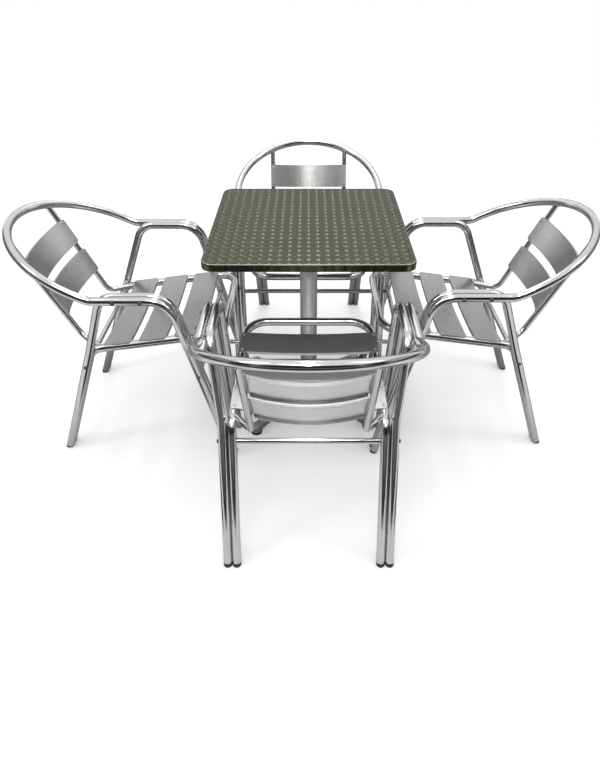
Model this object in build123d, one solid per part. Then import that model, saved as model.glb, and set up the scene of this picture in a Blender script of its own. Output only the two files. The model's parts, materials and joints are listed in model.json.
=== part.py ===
from build123d import *
from math import asin, cos, degrees, radians, sin, sqrt
import os

# Patio dining set: a square pedestal table and four identical aluminium tube armchairs.
# Millimetres. X points right, Y away from the viewer, Z up.
# The origin is on the floor, on the axis of the table's column.

# Layout: how far each chair's rear feet line stands outside the arm span of its neighbours.
# The front legs of neighbouring chairs stand between each other at the corners.
near_chair_out = 483.0
far_chair_out = 415.0
left_chair_out = 558.0
right_chair_out = 525.0
left_chair_shift = -55.0
right_chair_shift = -35.0

# Main tubes of a chair.
tube_dia = 25.0
tube_wall = 1.5
tube_touch = 0.2
weld_gap = 0.05
seam_turn = 20.0

# Chair frame. Y runs forward from the rear feet line, X from the chair's middle.
arm_half_span = 278.0
arm_height = 606.0
arm_front = 444.0
front_foot = 578.0
arm_rear = 246.0
rear_lean_in = 24.0
arm_bend = 75.0
rear_bend = 60.0

# The rear legs stand upright, seen from behind, and lean out to the arms above a knee.
knee_height = 400.0
knee_bend = 150.0

# Back hoop: a half circle in a plane that rises backwards from the kink in the arms.
# The kink lies where the hoop's straight lead ends.
hoop_lead = 28.809387
hoop_back = -54.0
hoop_back_height = 740.0
kink_bend = 60.0

# Seat frame: rear foot, up the rear leg, forward along the rail, round the front.
seat_front = 576.0
seat_front_height = 447.5
seat_front_half = 197.0
seat_rear_height = 392.0
seat_rear_bend = 50.0
seat_corner_bend = 72.0

# Back supports: thin tubes from the hoop down to the seat rails.
support_dia = 18.0
support_wall = 1.5
support_half_span = 147.0
support_low_y = 119.0
support_low_z = 406.0
support_bend = 38.0
support_rail_y = 198.0

# Slats: thin plates with a folded lip along both long edges, bowed along their length.
slat_width = 86.0
slat_thick = 2.0
slat_lip_depth = 7.0
slat_lip_thick = 2.2
slat_corner = 8.0
slat_end = 8.0
lip_clear = 4.0
back_slat_radius = 445.0
back_slat_first = 104.5
back_slat_pitch = 112.0
back_slat_count = 2
seat_slat_radius = 2400.0
seat_slat_first = 245.0
seat_slat_pitch = 111.0
seat_slat_count = 3

# Stretchers, spacers and fasteners.
stretcher_dia = 16.0
stretcher_bore = 8.2
stretcher_height = 348.0
spacer_dia = 14.0
rivet_head = 8.0
rivet_rise = 1.8
rivet_dia = 4.0
rivet_inset = 11.0
rivet_tail = 4.0
rivet_seat = 0.03
screw_head = 10.0
screw_rise = 3.4
arm_screw_dia = 6.0
arm_screw_y = (292.0, 368.0)
leg_bolt_dia = 8.0
leg_bolt_grip = 14.0
hole_clear = 0.1

# Foot plugs in the tube ends.
plug_show = 8.0
plug_spigot = 16.0
plug_clear = 0.1
plug_round = 1.5

# Table top: a pressed steel skin folded round a board.
top_size = 600.0
top_height = 702.0
top_depth = 22.0
top_corner = 36.0
top_edge_round = 5.0
skin_thick = 0.8
skin_lip = 14.0
board_clear = 0.1

# Bracket that screws to the board and takes the column.
bracket_reach = 200.0
bracket_arm_width = 34.0
bracket_arm_thick = 7.0
bracket_hub_dia = 84.0
bracket_hub_depth = 38.0
bracket_socket = 18.0
bracket_screw_radii = (110.0, 180.0)
board_screw_dia = 4.5
board_screw_head = 9.0
board_screw_rise = 2.6
board_screw_length = 12.0

# Column: a round extrusion with six grooves, held by a rod from end to end.
column_dia = 59.0
column_bore = 51.0
column_groove = 3.0
column_grooves = 6
column_fit = 0.1
rod_dia = 12.0
rod_hole_clear = 0.5
nut_across = 19.0
nut_height = 10.0
washer_dia = 38.0
washer_thick = 3.0

# Base: a cast star with four arched arms.
base_hub_dia = 92.0
base_hub_top = 96.0
base_hub_low = 40.0
base_socket = 14.0
base_bottom_web = 14.0
foot_radius = 285.0
foot_turn = 4.0
foot_pad_dia = 44.0
foot_pad_low = 14.0
foot_pad_top = 34.0
arm_width_hub = 64.0
arm_width_foot = 34.0
base_arm_round = 7.0

# Levelling glides under the base arms.
glide_dia = 40.0
glide_round = 3.0
glide_rest_gap = 0.4
stud_dia = 8.0
stud_length = 16.0
stud_clear = 0.4
glide_travel = 5.0

# Sizes that follow from the ones above.
pair_pitch = tube_dia + tube_touch
side_half_span = arm_half_span - pair_pitch
rear_foot_half = side_half_span - rear_lean_in
seat_foot_half = rear_foot_half - pair_pitch
knee_y = arm_rear * knee_height / arm_height
seat_rear = arm_rear * seat_rear_height / arm_height
hoop_run = hoop_lead + arm_half_span
hoop_kink = hoop_back + sqrt(hoop_run**2 - (hoop_back_height - arm_height) ** 2)
board_low = top_height - top_depth + skin_thick
board_high = top_height - skin_thick
column_low = base_hub_top - base_socket
column_high = board_low - bracket_hub_depth + bracket_socket


def on_hoop(x, run):
    """Point of the hoop's plane, so far along it from the kink."""
    share = run / hoop_run
    y = hoop_kink + (hoop_back - hoop_kink) * share
    return Vector(x, y, arm_height + (hoop_back_height - arm_height) * share)


def on_rail(y):
    """Point on the right seat rail's centre line."""
    share = (y - seat_rear) / (seat_front - seat_rear)
    x = seat_foot_half + (seat_front_half - seat_foot_half) * share
    return Vector(x, y, seat_rear_height + (seat_front_height - seat_rear_height) * share)


def front_leg_y(height):
    """How far forward a front leg is at a height."""
    return front_foot + (arm_front - front_foot) * height / arm_height


def lifted(foot, towards):
    """Start of a tube: the floor point moved up the leg by the plug that shows."""
    return foot + (towards - foot).normalized() * plug_show


def mirrored(shape):
    """The same shape on the chair's left side."""
    return mirror(shape, about=Plane.YZ)


def both_sides(shape):
    """A right hand shape and its mirror image."""
    return [shape, mirrored(shape)]


def pipe(path, section):
    """Solid with one section along a path of straight runs and tangent arcs.

    The section is turned so that its seam stays clear of the holes for screws and rivets.
    """
    pieces = []
    for edge in path.edges():
        start = edge @ 0
        face = Plane(origin=start, z_dir=edge % 0) * Rot(0, 0, seam_turn) * section
        if edge.geom_type == GeomType.LINE:
            pieces.append(extrude(face, edge.length))
        else:
            middle = edge.arc_center
            axis = Axis(middle, (start - middle).cross(edge % 0))
            pieces.append(revolve(face, axis, degrees(edge.length / edge.radius)))
    return Part() + pieces


def tube(path, dia, wall):
    """Round tube along a path."""
    return pipe(path, Circle(dia / 2) - Circle(dia / 2 - wall))


def bar(path, dia):
    """Round solid bar along a path."""
    return pipe(path, Circle(dia / 2))


def pin(start, direction, dia, length):
    """Plain cylinder from a point along a direction."""
    return Plane(origin=start, z_dir=direction) * Cylinder(
        dia / 2, length, align=(Align.CENTER, Align.CENTER, Align.MIN)
    )


def fastener(seat, outward, head, rise, shank, length):
    """Round headed screw or rivet whose head sits at a point and whose shank runs inward."""
    crown = Cylinder(head / 2, rise, align=(Align.CENTER, Align.CENTER, Align.MIN))
    crown = fillet(crown.edges().sort_by(Axis.Z)[-1], rise * 0.8)
    stem = Pos(0, 0, -length) * Cylinder(
        shank / 2, length, align=(Align.CENTER, Align.CENTER, Align.MIN)
    )
    return Plane(origin=seat, z_dir=outward) * (crown + stem)


def foot_plug(foot, towards):
    """Plug in a tube's end, cut level with the floor."""
    up = (towards - foot).normalized()
    cap = pin(foot - up * tube_dia, up, tube_dia, tube_dia + plug_show)
    cap = split(cap, bisect_by=Plane.XY, keep=Keep.TOP)
    cap = fillet(cap.edges().sort_by(Axis.Z)[0], plug_round)
    spigot_dia = tube_dia - 2 * tube_wall - 2 * plug_clear
    return cap + pin(foot + up * plug_show, up, spigot_dia, plug_spigot)


# Key points of the chair's right side.
front_foot_hoop = Vector(arm_half_span, front_foot, 0)
front_corner_hoop = Vector(arm_half_span, arm_front, arm_height)
front_foot_side = Vector(side_half_span, front_foot, 0)
front_corner_side = Vector(side_half_span, arm_front, arm_height)
rear_corner_side = Vector(side_half_span, arm_rear, arm_height)
rear_knee_side = Vector(rear_foot_half, knee_y, knee_height)
rear_foot_side = Vector(rear_foot_half, 0, 0)
rear_foot_seat = Vector(seat_foot_half, 0, 0)
rear_corner_seat = Vector(seat_foot_half, seat_rear, seat_rear_height)
front_corner_seat = Vector(seat_front_half, seat_front, seat_front_height)

# Hoop tube: front leg, arm, kink, half circle and the other side.
hoop_right = FilletPolyline(
    lifted(front_foot_hoop, front_corner_hoop),
    front_corner_hoop,
    Vector(arm_half_span, hoop_kink, arm_height),
    on_hoop(arm_half_span, hoop_lead),
    radius=[arm_bend, kink_bend],
)
hoop_arc = ThreePointArc(
    on_hoop(arm_half_span, hoop_lead),
    on_hoop(0, hoop_run),
    on_hoop(-arm_half_span, hoop_lead),
)
hoop_path = Wire([*hoop_right.edges(), hoop_arc.edge(), *mirrored(hoop_right).edges()])
hoop_tube = tube(hoop_path, tube_dia, tube_wall)
hoop_cut = bar(hoop_path, tube_dia + 2 * weld_gap)

# Side frame: front leg beside the hoop's leg, arm, and rear leg with its knee.
side_path = FilletPolyline(
    lifted(front_foot_side, front_corner_side),
    front_corner_side,
    rear_corner_side,
    rear_knee_side,
    lifted(rear_foot_side, rear_knee_side),
    radius=[arm_bend, rear_bend, knee_bend],
)
side_tube = tube(side_path, tube_dia, tube_wall)
side_cut = bar(side_path, tube_dia + 2 * weld_gap)

# Seat frame: both rear feet, both rails and the front rail in one bent tube.
seat_path = FilletPolyline(
    lifted(rear_foot_seat, rear_corner_seat),
    rear_corner_seat,
    front_corner_seat,
    Vector(-front_corner_seat.X, front_corner_seat.Y, front_corner_seat.Z),
    Vector(-rear_corner_seat.X, rear_corner_seat.Y, rear_corner_seat.Z),
    lifted(
        Vector(-rear_foot_seat.X, 0, 0),
        Vector(-rear_corner_seat.X, rear_corner_seat.Y, rear_corner_seat.Z),
    ),
    radius=[seat_rear_bend, seat_corner_bend, seat_corner_bend, seat_rear_bend],
)
seat_tube = tube(seat_path, tube_dia, tube_wall)
seat_cut = bar(seat_path, tube_dia + 2 * weld_gap)

# Back support: down from the hoop, then forward and out to the rail.
support_angle = asin(sqrt(1 - (support_half_span / arm_half_span) ** 2))
support_top = on_hoop(support_half_span, hoop_lead + arm_half_span * sin(support_angle))
support_low = Vector(support_half_span, support_low_y, support_low_z)
support_path = FilletPolyline(
    support_top, support_low, on_rail(support_rail_y), radius=[support_bend]
)
support_tube = tube(support_path, support_dia, support_wall) - hoop_cut - seat_cut
support_dir = (support_low - support_top).normalized()
support_front = Vector(1, 0, 0).cross(support_dir)


def slat(half_span, tube_radius, outer_radius):
    """Bowed slat on two tubes that run along Y at each side, with its hollow face up.

    Returns the slat and the axes of its rivets, each a point on its face and a direction.
    """
    reach = outer_radius + tube_radius
    rise = sqrt(reach**2 - half_span**2)
    half_length = half_span + slat_end

    def band(outer, inner, half):
        ring = Circle(outer) - Circle(inner)
        window = Pos(0, -outer) * Rectangle(2 * half, outer)
        return Plane.XZ * (Pos(0, rise) * (ring & window))

    plate = extrude(
        band(outer_radius, outer_radius - slat_thick, half_length + slat_end), slat_width, both=True
    )
    outline = RectangleRounded(2 * half_length, slat_width, slat_corner)
    body = plate & extrude(outline, outer_radius / 2, both=True)
    lip_half = half_span - tube_radius - lip_clear
    lip = band(outer_radius + slat_lip_depth, outer_radius - slat_thick / 2, lip_half)
    for side in (-1, 1):
        middle = side * (slat_width - slat_lip_thick) / 2
        body += Pos(0, middle, 0) * extrude(lip, slat_lip_thick / 2, both=True)
    lean = asin(half_span / reach)
    axes = []
    for side in (-1, 1):
        face = outer_radius - slat_thick
        x = side * face * sin(lean)
        z = rise - face * cos(lean)
        for y in (-slat_width / 2 + rivet_inset, slat_width / 2 - rivet_inset):
            axes.append((Vector(x, y, z), Vector(-side * sin(lean), 0, cos(lean))))
    for face, up in axes:
        body -= pin(face + up, up * -1, rivet_dia + 2 * hole_clear, slat_thick + 2)
    return body, axes


def placed_slats(half_spans, tube_radius, outer_radius, places):
    """Slats, their rivets and the holes in the tubes, all in the chair's frame."""
    slats, rivets, holes = [], [], []
    for half_span, place in zip(half_spans, places):
        body, axes = slat(half_span, tube_radius, outer_radius)
        slats.append(place * body)
        for face, up in axes:
            length = slat_thick + rivet_tail
            seat = face + up * rivet_seat
            rivets.append(place * fastener(seat, up, rivet_head, rivet_rise, rivet_dia, length))
            holes.append(place * pin(face, up * -1, rivet_dia + 2 * hole_clear, length + 1))
    return slats, rivets, holes


# Back slats across the front of the supports.
back_places = []
for index in range(back_slat_count):
    centre = support_top + support_dir * (back_slat_first + index * back_slat_pitch)
    back_places.append(Plane(origin=(0, centre.Y, centre.Z), x_dir=(1, 0, 0), z_dir=support_front))
back_slats, back_rivets, back_holes = placed_slats(
    [support_half_span] * back_slat_count, support_dia / 2, back_slat_radius, back_places
)

# Seat slats across the rails. The rails draw in a little towards the front, so each
# slat is set for its front edge, where the rails are closest together.
rail_dir = Vector(0, seat_front - seat_rear, seat_front_height - seat_rear_height).normalized()
seat_places, seat_spans = [], []
for index in range(seat_slat_count):
    centre = on_rail(seat_slat_first + index * seat_slat_pitch)
    front_edge = on_rail(centre.Y + slat_width / 2)
    seat_spans.append(front_edge.X)
    up = Vector(1, 0, 0).cross(rail_dir)
    seat_places.append(Plane(origin=(0, centre.Y, centre.Z), x_dir=(1, 0, 0), z_dir=up))
seat_slats, seat_rivets, seat_holes = placed_slats(
    seat_spans, tube_dia / 2, seat_slat_radius, seat_places
)

# Stretchers between the rear legs and between the front legs.
rear_stretcher_y = arm_rear * stretcher_height / arm_height
front_stretcher_y = front_leg_y(stretcher_height)


def stretcher(y, half_length):
    """Thick tube across the chair, before its ends are shaped to the legs."""
    ring = Circle(stretcher_dia / 2) - Circle(stretcher_bore / 2)
    return Pos(0, y, stretcher_height) * extrude(Plane.YZ * ring, half_length, both=True)


rear_stretcher = stretcher(rear_stretcher_y, seat_foot_half) - seat_cut
rear_stretcher = rear_stretcher.solids().sort_by(SortBy.VOLUME)[-1]
front_stretcher = stretcher(front_stretcher_y, side_half_span) - side_cut - mirrored(side_cut)
front_stretcher = front_stretcher.solids().sort_by(SortBy.VOLUME)[-1]

# Spacers between the front legs and the seat rails, where the two cross in height.
spacer_rail = on_rail(front_leg_y(on_rail(front_leg_y(seat_front_height)).Z))
spacer = pin(
    Vector(spacer_rail.X, spacer_rail.Y, spacer_rail.Z),
    Vector(1, 0, 0),
    spacer_dia,
    side_half_span - spacer_rail.X,
)
spacer = (spacer - seat_cut - side_cut).solids().sort_by(SortBy.VOLUME)[-1]

# Screws through the arms and bolts through the legs into the stretchers.
out = Vector(1, 0, 0)
screws, screw_holes = [], []
for y in arm_screw_y:
    seat = Vector(arm_half_span + tube_dia / 2 + weld_gap, y, arm_height)
    length = tube_dia + pair_pitch / 2
    screws.append(fastener(seat, out, screw_head, screw_rise, arm_screw_dia, length))
    screw_holes.append(pin(seat + out, out * -1, arm_screw_dia + 2 * hole_clear, length + 2))
rear_bolt_seat = Vector(
    rear_foot_half + tube_dia / 2 + weld_gap, rear_stretcher_y, stretcher_height
)
front_bolt_seat = Vector(
    arm_half_span + tube_dia / 2 + weld_gap, front_stretcher_y, stretcher_height
)
for seat in (rear_bolt_seat, front_bolt_seat):
    length = tube_dia + pair_pitch + leg_bolt_grip
    screws.append(fastener(seat, out, screw_head, screw_rise, leg_bolt_dia, length))
    screw_holes.append(pin(seat + out, out * -1, leg_bolt_dia + 2 * hole_clear, length + 2))
screw_cut = Part() + screw_holes
all_screw_cut = Part() + [screw_cut, mirrored(screw_cut)]

# Foot plugs.
plugs = []
for foot, towards in (
    (front_foot_hoop, front_corner_hoop),
    (front_foot_side, front_corner_side),
    (rear_foot_side, rear_knee_side),
    (rear_foot_seat, rear_corner_seat),
):
    plugs.extend(both_sides(foot_plug(foot, towards)))

# One chair, node by node, in its own frame.
side_pair = both_sides(side_tube - screw_cut)
support_pair = []
for shape in both_sides(support_tube):
    support_pair.append(shape - (Part() + back_holes))
chair = {
    "hoop_tube": [hoop_tube - all_screw_cut],
    "side_frames": side_pair,
    "seat_frame": [seat_tube - all_screw_cut - (Part() + seat_holes)],
    "back_supports": support_pair,
    "back_slats": back_slats,
    "seat_slats": seat_slats,
    "stretchers": [rear_stretcher, front_stretcher],
    "seat_spacers": both_sides(spacer),
    "slat_rivets": back_rivets + seat_rivets,
    "frame_bolts": [piece for shape in screws for piece in both_sides(shape)],
    "foot_plugs": plugs,
}
chair_places = {
    "near": Location((0, -arm_half_span - near_chair_out, 0), (0, 0, 0)),
    "far": Location((0, arm_half_span + far_chair_out, 0), (0, 0, 180)),
    "left": Location((-arm_half_span - left_chair_out, left_chair_shift, 0), (0, 0, -90)),
    "right": Location((arm_half_span + right_chair_out, right_chair_shift, 0), (0, 0, 90)),
}


def rounded_square(size, corner):
    """Square sketch with rounded corners."""
    return RectangleRounded(size, size, corner)


def slab(size, corner, low, high, edge_round):
    """Rounded square plate with its upper edge rounded."""
    plate = Pos(0, 0, low) * extrude(rounded_square(size, corner), high - low)
    top = plate.faces().sort_by(Axis.Z)[-1]
    return fillet(top.edges(), edge_round)


# Table top.
inner_size = top_size - 2 * skin_thick
inner_corner = top_corner - skin_thick
inner_round = top_edge_round - skin_thick
skin = slab(top_size, top_corner, top_height - top_depth, top_height, top_edge_round)
skin -= slab(inner_size, inner_corner, board_low, board_high, inner_round)
mouth = rounded_square(top_size - 2 * skin_lip, top_corner - skin_lip)
skin -= Pos(0, 0, top_height - top_depth - 1) * extrude(mouth, skin_thick + 2)
board = slab(
    inner_size - 2 * board_clear, inner_corner - board_clear, board_low, board_high, inner_round
)

# Bracket under the board.
hub_low = board_low - bracket_hub_depth
bracket = Pos(0, 0, hub_low) * extrude(Circle(bracket_hub_dia / 2), bracket_hub_depth)
bracket = fillet(bracket.edges().sort_by(Axis.Z)[0], 5)
for turn in (45, 135):
    strap = Rot(0, 0, turn) * SlotOverall(2 * bracket_reach, bracket_arm_width)
    bracket += Pos(0, 0, board_low - bracket_arm_thick) * extrude(strap, bracket_arm_thick)
bracket -= Pos(0, 0, hub_low - 1) * extrude(Circle(column_dia / 2 + column_fit), bracket_socket + 1)
bracket -= Pos(0, 0, hub_low) * extrude(
    Circle(rod_dia / 2 + rod_hole_clear), bracket_hub_depth - bracket_arm_thick
)
board_screws = []
for turn in range(45, 360, 90):
    for radius in bracket_screw_radii:
        x, y = radius * cos(radians(turn)), radius * sin(radians(turn))
        seat = Vector(x, y, board_low - bracket_arm_thick)
        length = bracket_arm_thick + board_screw_length
        down = Vector(0, 0, -1)
        board_screws.append(
            fastener(seat, down, board_screw_head, board_screw_rise, board_screw_dia, length)
        )
        hole = pin(seat, down * -1, board_screw_dia + 2 * hole_clear, length)
        bracket -= hole
        board -= hole

# Column with its grooves, and the rod that pulls bracket and base together.
column_face = Circle(column_dia / 2) - Circle(column_bore / 2)
for index in range(column_grooves):
    turn = radians(360 / column_grooves * index)
    middle = column_dia / 2
    column_face -= Pos(middle * cos(turn), middle * sin(turn)) * Circle(column_groove)
column = Pos(0, 0, column_low) * extrude(column_face, column_high - column_low)
rod_low = base_hub_low - nut_height - 4
rod_high = board_low - bracket_arm_thick
rod = Pos(0, 0, rod_low) * extrude(Circle(rod_dia / 2), rod_high - rod_low)

# Base casting: hub, four arched arms and a boss over each glide.
base = Pos(0, 0, base_hub_low) * extrude(Circle(base_hub_dia / 2), base_hub_top - base_hub_low)
arm_side = make_face(
    Polyline(
        (0, base_hub_low + 4),
        (foot_radius * 0.45, base_hub_low - 6),
        (foot_radius - foot_pad_dia / 2, foot_pad_low),
        (foot_radius, foot_pad_low),
        (foot_radius, foot_pad_top - 4),
        (foot_radius - foot_pad_dia / 2, foot_pad_top + 2),
        (foot_radius * 0.45, base_hub_low + 26),
        (base_hub_dia / 2, base_hub_top - 14),
        (0, base_hub_top - 14),
        close=True,
    )
)
arm_plan = make_face(
    Polyline(
        (0, -arm_width_hub / 2),
        (foot_radius, -arm_width_foot / 2),
        (foot_radius, arm_width_foot / 2),
        (0, arm_width_hub / 2),
        close=True,
    )
)
base_arm = extrude(Plane.XZ * arm_side, arm_width_hub, both=True)
base_arm &= extrude(arm_plan, base_hub_top)
upper = [e for e in base_arm.edges() if e.center().Z > foot_pad_top - 3 and abs(e.center().Y) > 5]
upper = [e for e in upper if e.center().X > 1 and abs((e % 0.5).Z) < 0.9]
base_arm = fillet(upper, base_arm_round)
foot_pad = Pos(foot_radius, 0, foot_pad_low) * extrude(
    Circle(foot_pad_dia / 2), foot_pad_top - foot_pad_low
)
foot_pad = fillet(foot_pad.edges().sort_by(Axis.Z)[-1], base_arm_round)
for index in range(4):
    turn = 45 + foot_turn + 90 * index
    base += Rot(0, 0, turn) * base_arm
    base += Rot(0, 0, turn) * foot_pad
socket = extrude(Circle(column_dia / 2 + column_fit), base_socket + 1)
base -= Pos(0, 0, column_low) * socket
web_top = base_hub_low + base_bottom_web
base -= Pos(0, 0, web_top) * extrude(Circle(column_bore / 2), base_hub_top)
base -= extrude(Circle(rod_dia / 2 + rod_hole_clear), base_hub_top)
nut_pocket = Circle(washer_dia / 2 + 1)
base -= Pos(0, 0, base_hub_low - 20) * extrude(nut_pocket, 20 + washer_thick)
nut_seat = base_hub_low + washer_thick
washer = Pos(0, 0, nut_seat - washer_thick) * extrude(
    Circle(washer_dia / 2) - Circle(rod_dia / 2 + hole_clear), washer_thick
)
nut_face = RegularPolygon(nut_across / 2, 6, major_radius=False) - Circle(rod_dia / 2 + hole_clear)
nut = Pos(0, 0, nut_seat - washer_thick - nut_height) * extrude(nut_face, nut_height)

# Glides: a pad and its stud, standing out by the travel that screws it home.
pad_top = foot_pad_low - glide_travel - glide_rest_gap
glide = extrude(Circle(glide_dia / 2), pad_top)
glide = fillet(glide.edges().group_by(Axis.Z)[0], glide_round)
glide += extrude(Circle(stud_dia / 2), pad_top + stud_length)
stud_hole = Circle(stud_dia / 2 + stud_clear)
glides = {}
for index, name in enumerate(("far_right", "far_left", "near_left", "near_right")):
    turn = radians(45 + foot_turn + 90 * index)
    x, y = foot_radius * cos(turn), foot_radius * sin(turn)
    glides[name] = Pos(x, y, 0) * glide
    base -= Pos(x, y, 0) * extrude(stud_hole, pad_top + stud_length + glide_travel + 1)

table = {
    "table_top_skin": [skin],
    "table_board": [board],
    "table_bracket": [bracket],
    "table_board_screws": board_screws,
    "table_column": [column],
    "table_tie_rod": [rod],
    "table_tie_washer": [washer],
    "table_tie_nut": [nut],
    "table_base": [base],
}

# One file per node.
os.makedirs("parts", exist_ok=True)
for side, place in chair_places.items():
    for node, shapes in chair.items():
        solids = [piece for shape in shapes for piece in (place * shape).solids()]
        export_step(Compound(children=solids), f"parts/{side}_{node}.step")
for node, shapes in table.items():
    solids = [piece for shape in shapes for piece in shape.solids()]
    export_step(Compound(children=solids), f"parts/{node}.step")
for name, shape in glides.items():
    export_step(Compound(children=shape.solids()), f"parts/glide_{name}.step")
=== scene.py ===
"""Looks of a patio dining set: a square pedestal table and four tube armchairs.

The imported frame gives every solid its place. This script dresses those solids, adds the small
pieces that only show close up, and lights the set as a studio photograph. Lengths are metres.
"""

import json
import logging
import math
from dataclasses import dataclass
from enum import Enum
from typing import Iterable, Sequence, Union

import bmesh
import bpy
import numpy as np
from mathutils import Matrix, Vector

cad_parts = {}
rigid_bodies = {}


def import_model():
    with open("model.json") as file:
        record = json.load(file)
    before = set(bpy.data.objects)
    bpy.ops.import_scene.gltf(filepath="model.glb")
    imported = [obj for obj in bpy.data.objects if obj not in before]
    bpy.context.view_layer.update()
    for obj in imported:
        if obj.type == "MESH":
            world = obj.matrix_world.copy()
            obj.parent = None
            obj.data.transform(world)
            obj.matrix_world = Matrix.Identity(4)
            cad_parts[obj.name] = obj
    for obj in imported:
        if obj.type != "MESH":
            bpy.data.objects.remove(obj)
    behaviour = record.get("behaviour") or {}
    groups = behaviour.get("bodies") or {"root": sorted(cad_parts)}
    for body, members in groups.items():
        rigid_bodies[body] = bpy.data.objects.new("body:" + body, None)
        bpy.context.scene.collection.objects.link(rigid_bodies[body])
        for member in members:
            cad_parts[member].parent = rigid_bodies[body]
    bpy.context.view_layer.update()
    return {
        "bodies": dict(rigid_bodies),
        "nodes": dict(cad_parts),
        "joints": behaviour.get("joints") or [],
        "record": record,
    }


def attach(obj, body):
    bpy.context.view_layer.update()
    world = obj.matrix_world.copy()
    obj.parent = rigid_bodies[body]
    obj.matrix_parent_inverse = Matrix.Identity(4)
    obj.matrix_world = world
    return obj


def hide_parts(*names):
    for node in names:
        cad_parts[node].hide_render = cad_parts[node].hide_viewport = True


LOG = logging.getLogger("patio_set")
Socket = bpy.types.NodeSocket
Value = Union[float, Socket]
Colour = tuple[float, float, float]
Point = tuple[float, float, float]
Span = tuple[float, float]

RISE: Span = (0.0, 1.0)
FALL: Span = (1.0, 0.0)
WHITE = (1.0, 1.0, 1.0, 1.0)
# A noise seldom passes these ends.
NOISE_ENDS: Span = (0.3, 0.7)
# Turns a highlight from along the tangent to across it, in whole turns.
ACROSS_TANGENT = 0.25
# Points that are closer than this are one.
ONE_POINT = 1e-6


class Grain(Enum):
    """Axis that brush or draw lines run along."""

    ALONG_X = (1.0, 0.0, 0.0)
    ALONG_Y = (0.0, 1.0, 0.0)
    ALONG_Z = (0.0, 0.0, 1.0)


class Side(Enum):
    """The four chairs, by the prefix of their nodes."""

    NEAR = "near"
    FAR = "far"
    LEFT = "left"
    RIGHT = "right"

    @property
    def body(self) -> str:
        """Body that the chair's pieces ride on."""
        return f"{self.value}_chair"

    @property
    def slat_grain(self) -> Grain:
        """Direction of the brush lines, which run along the slats."""
        return Grain.ALONG_X if self in (Side.NEAR, Side.FAR) else Grain.ALONG_Y


@dataclass(frozen=True)
class Noise:
    """Waves per metre of a noise, its finer layers and their strength."""

    waves: float
    detail: float = 2.0
    rough: float = 0.5


@dataclass(frozen=True)
class Relief:
    """Share of a height that shows on a surface, and the height's real depth."""

    strength: float
    depth: float


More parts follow.
